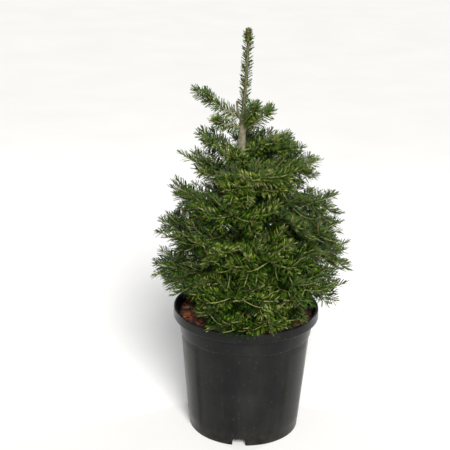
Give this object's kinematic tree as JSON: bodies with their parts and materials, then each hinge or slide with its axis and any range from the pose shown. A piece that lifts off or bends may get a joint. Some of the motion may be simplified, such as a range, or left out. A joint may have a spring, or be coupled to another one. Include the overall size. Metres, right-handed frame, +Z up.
{
  "type": "potted fir tree",
  "caption": "Young fir tree with whorls of needled boughs and a bare leader, in a round black plastic nursery pot.",
  "frame": {"origin": "centre of the pot's underside, on the ground", "axes": "+Z up along the pot's axis, -Y to the viewer of the picture, +X to the viewer's right"},
  "size_m": [0.4179, 0.3991, 0.896],
  "materials": {
    "pot_plastic": "satin black, moulded, with dried water marks",
    "potting_bark": "coarse, damp, red-brown chips",
    "trunk_bark": "smooth young bark, grey to tan",
    "bough_bark": "smooth young bark, olive to tan",
    "fir_needles": "waxy green above, silvery below"
  },
  "bodies": {
    "root": {"bough_high_1": "bough_bark", "bough_high_2": "bough_bark", "bough_high_3": "bough_bark", "bough_high_4": "bough_bark", "bough_low_1": "bough_bark", "bough_low_2": "bough_bark", "bough_low_3": "bough_bark", "bough_low_4": "bough_bark", "bough_low_5": "bough_bark", "bough_lower_1": "bough_bark", "bough_lower_2": "bough_bark", "bough_lower_3": "bough_bark", "bough_lower_4": "bough_bark", "bough_lower_5": "bough_bark", "bough_middle_1": "bough_bark", "bough_middle_2": "bough_bark", "bough_middle_3": "bough_bark", "bough_middle_4": "bough_bark", "bough_middle_5": "bough_bark", "bough_upper_1": "bough_bark", "bough_upper_2": "bough_bark", "bough_upper_3": "bough_bark", "bough_upper_4": "bough_bark", "needles_high_1": "fir_needles", "needles_high_2": "fir_needles", "needles_high_3": "fir_needles", "needles_high_4": "fir_needles", "needles_leader": "fir_needles", "needles_low_1": "fir_needles", "needles_low_2": "fir_needles", "needles_low_3": "fir_needles", "needles_low_4": "fir_needles", "needles_low_5": "fir_needles", "needles_lower_1": "fir_needles", "needles_lower_2": "fir_needles", "needles_lower_3": "fir_needles", "needles_lower_4": "fir_needles", "needles_lower_5": "fir_needles", "needles_middle_1": "fir_needles", "needles_middle_2": "fir_needles", "needles_middle_3": "fir_needles", "needles_middle_4": "fir_needles", "needles_middle_5": "fir_needles", "needles_second_1": "fir_needles", "needles_second_2": "fir_needles", "needles_second_3": "fir_needles", "needles_second_4": "fir_needles", "needles_second_5": "fir_needles", "needles_top_1": "fir_needles", "needles_top_2": "fir_needles", "needles_top_3": "fir_needles", "needles_top_4": "fir_needles", "needles_top_5": "fir_needles", "needles_upper_1": "fir_needles", "needles_upper_2": "fir_needles", "needles_upper_3": "fir_needles", "needles_upper_4": "fir_needles", "pot": "pot_plastic", "potting_bark": "potting_bark", "trunk": "trunk_bark"}
  },
  "joints": []
}
